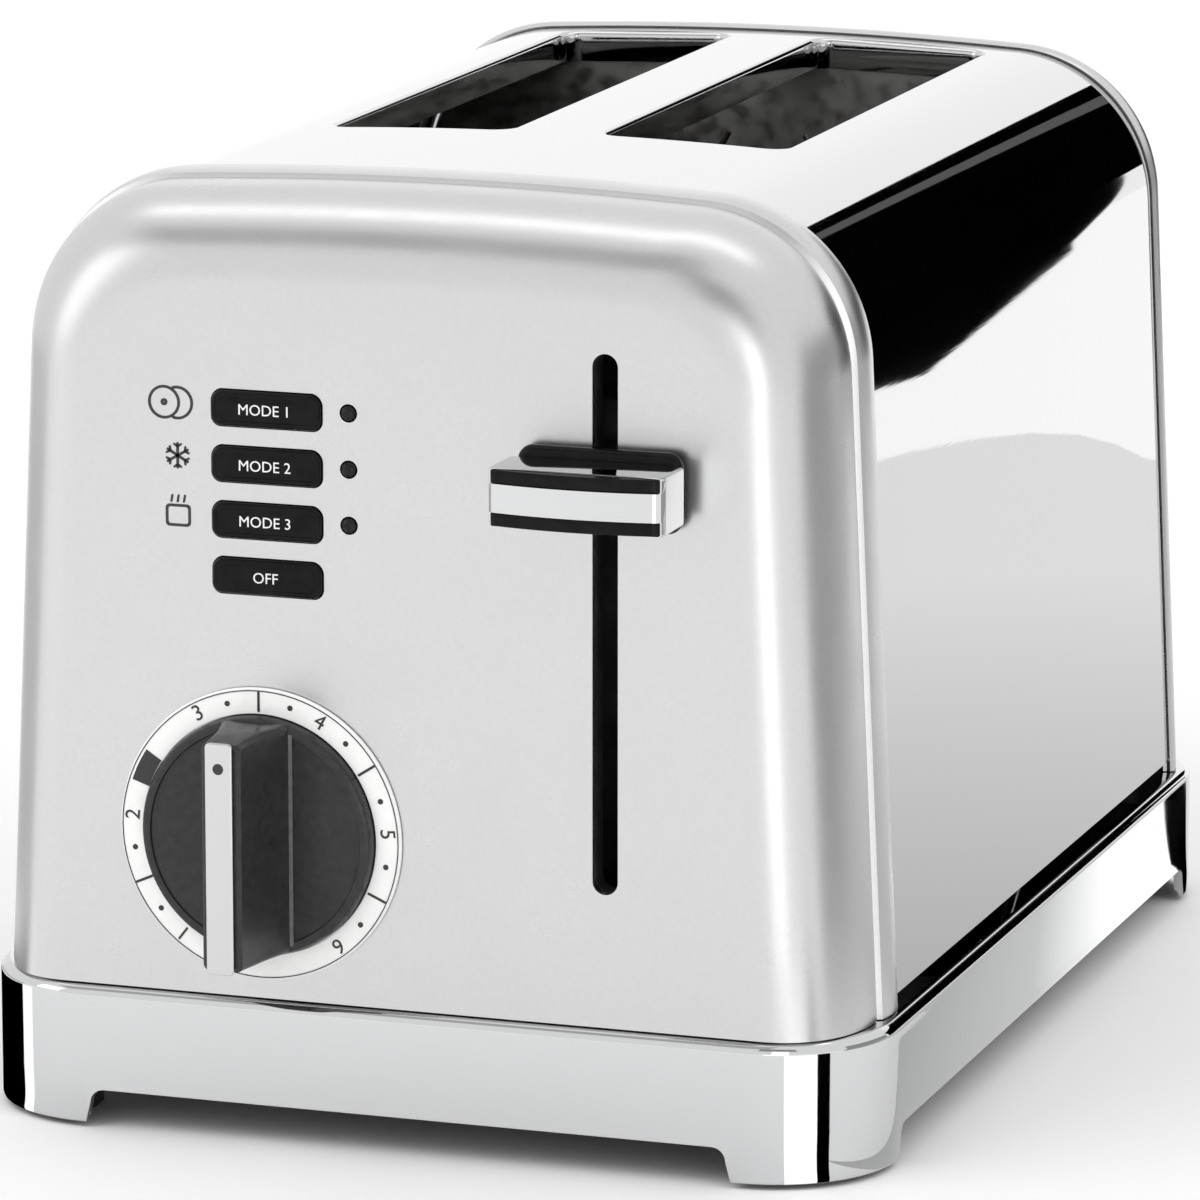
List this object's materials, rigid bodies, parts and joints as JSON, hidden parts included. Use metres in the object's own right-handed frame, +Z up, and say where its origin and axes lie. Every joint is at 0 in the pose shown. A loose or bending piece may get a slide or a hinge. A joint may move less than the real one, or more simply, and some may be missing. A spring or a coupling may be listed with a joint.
{
  "type": "pop-up toaster",
  "caption": "Two-slice pop-up toaster: polished shell over a chrome base, satin front panel with lever, push buttons and browning dial",
  "frame": {"origin": "bottom centre of the whole toaster's box, on the surface that it stands on", "axes": "+X to the right seen from the control side, +Y from the control side to the rear, +Z up"},
  "size_m": [0.185, 0.2944, 0.189],
  "materials": {
    "chrome": "polished chrome plate",
    "polished_steel": "mirror polished stainless sheet",
    "satin_steel": "fine satin, cast",
    "plated_steel": "zinc plated sheet",
    "dark_steel": "heat tinted wire and sheet",
    "gloss_black": "gloss black moulding",
    "matte_black": "fine textured black moulding",
    "rubber": "matte black rubber",
    "mica": "pressed mica sheet",
    "heating_alloy": "oxidised resistance ribbon",
    "copper_winding": "lacquered copper wire",
    "circuit_board": "solder mask",
    "dial_white": "white printed ring",
    "smoked_lens": "smoked clear lens"
  },
  "bodies": {
    "housing": {"base_frame": "chrome", "bottom_pan": "matte_black", "control_board": "circuit_board", "cord_gland": "rubber", "dial_ring": "dial_white", "foot_front_left": "rubber", "foot_front_right": "rubber", "foot_rear_left": "rubber", "foot_rear_right": "rubber", "foot_screw_front_left": "plated_steel", "foot_screw_front_right": "plated_steel", "foot_screw_rear_left": "plated_steel", "foot_screw_rear_right": "plated_steel", "front_bulkhead": "plated_steel", "front_panel": "satin_steel", "guide_rod_left": "plated_steel", "guide_rod_right": "plated_steel", "heater_board_centre": "mica", "heater_board_left": "mica", "heater_board_right": "mica", "heating_ribbon_centre_left": "heating_alloy", "heating_ribbon_centre_right": "heating_alloy", "heating_ribbon_left": "heating_alloy", "heating_ribbon_right": "heating_alloy", "light_bagel": "smoked_lens", "light_defrost": "smoked_lens", "light_reheat": "smoked_lens", "magnet_coil": "copper_winding", "magnet_core": "dark_steel", "outer_shell": "polished_steel", "rear_bulkhead": "plated_steel", "rear_panel": "satin_steel", "rear_screw_left": "plated_steel", "rear_screw_right": "plated_steel", "reflector_left": "polished_steel", "reflector_right": "polished_steel", "return_spring": "plated_steel", "slot_liner": "matte_black", "timer_control": "plated_steel"},
    "carriage": {"bread_rack_left": "dark_steel", "bread_rack_right": "dark_steel", "carriage_bracket": "plated_steel", "lever_arm": "plated_steel", "lever_knob": "chrome", "lever_inlay_upper": "gloss_black", "lever_inlay_lower": "gloss_black", "lever_plate": "gloss_black", "latch_armature": "plated_steel"},
    "guide_left_outer": {"bread_guide_left_outer": "dark_steel"},
    "guide_left_inner": {"bread_guide_left_inner": "dark_steel"},
    "guide_right_inner": {"bread_guide_right_inner": "dark_steel"},
    "guide_right_outer": {"bread_guide_right_outer": "dark_steel"},
    "browning_dial": {"dial_knob": "gloss_black", "dial_insert": "chrome", "dial_shaft": "plated_steel"},
    "bagel_button": {"button_bagel": "gloss_black"},
    "defrost_button": {"button_defrost": "gloss_black"},
    "reheat_button": {"button_reheat": "gloss_black"},
    "stop_button": {"button_stop": "gloss_black"},
    "tray": {"crumb_tray": "plated_steel"}
  },
  "joints": [
    {"name": "carriage_lift", "type": "slide", "parent": "housing", "child": "carriage", "axis": [0, 0, 1], "range_m": [-0.072, 0.02], "stiffness_N_per_m": 150, "springref_m": 0.00942, "deforming": ["return_spring"]},
    {"name": "guide_left_outer_close", "type": "slide", "parent": "housing", "child": "guide_left_outer", "axis": [1, 0, 0], "range_m": [-0.0018, 0.006]},
    {"name": "guide_left_inner_close", "type": "slide", "parent": "housing", "child": "guide_left_inner", "axis": [-1, 0, 0], "range_m": [-0.0018, 0.006]},
    {"name": "guide_right_inner_close", "type": "slide", "parent": "housing", "child": "guide_right_inner", "axis": [1, 0, 0], "range_m": [-0.0018, 0.006]},
    {"name": "guide_right_outer_close", "type": "slide", "parent": "housing", "child": "guide_right_outer", "axis": [-1, 0, 0], "range_m": [-0.0018, 0.006]},
    {"name": "dial_turn", "type": "hinge", "parent": "housing", "child": "browning_dial", "pos_m": [-0.0294, -0.1242, 0.0622], "axis": [0, -1, 0], "range_deg": [-142.5, 142.5]},
    {"name": "bagel_press", "type": "slide", "parent": "housing", "child": "bagel_button", "axis": [0, 1, 0], "range_m": [0, 0.0015], "stiffness_N_per_m": 800, "springref_m": -0.0005},
    {"name": "defrost_press", "type": "slide", "parent": "housing", "child": "defrost_button", "axis": [0, 1, 0], "range_m": [0, 0.0015], "stiffness_N_per_m": 800, "springref_m": -0.0005},
    {"name": "reheat_press", "type": "slide", "parent": "housing", "child": "reheat_button", "axis": [0, 1, 0], "range_m": [0, 0.0015], "stiffness_N_per_m": 800, "springref_m": -0.0005},
    {"name": "stop_press", "type": "slide", "parent": "housing", "child": "stop_button", "axis": [0, 1, 0], "range_m": [0, 0.0015], "stiffness_N_per_m": 800, "springref_m": -0.0005},
    {"name": "tray_slide", "type": "slide", "parent": "housing", "child": "tray", "axis": [0, 1, 0], "range_m": [0, 0.17]}
  ],
  "couplings": [
    {"joint": "guide_left_outer_close", "follows": "carriage_lift", "ratio": -0.08},
    {"joint": "guide_left_inner_close", "follows": "carriage_lift", "ratio": -0.08},
    {"joint": "guide_right_inner_close", "follows": "carriage_lift", "ratio": -0.08},
    {"joint": "guide_right_outer_close", "follows": "carriage_lift", "ratio": -0.08}
  ]
}
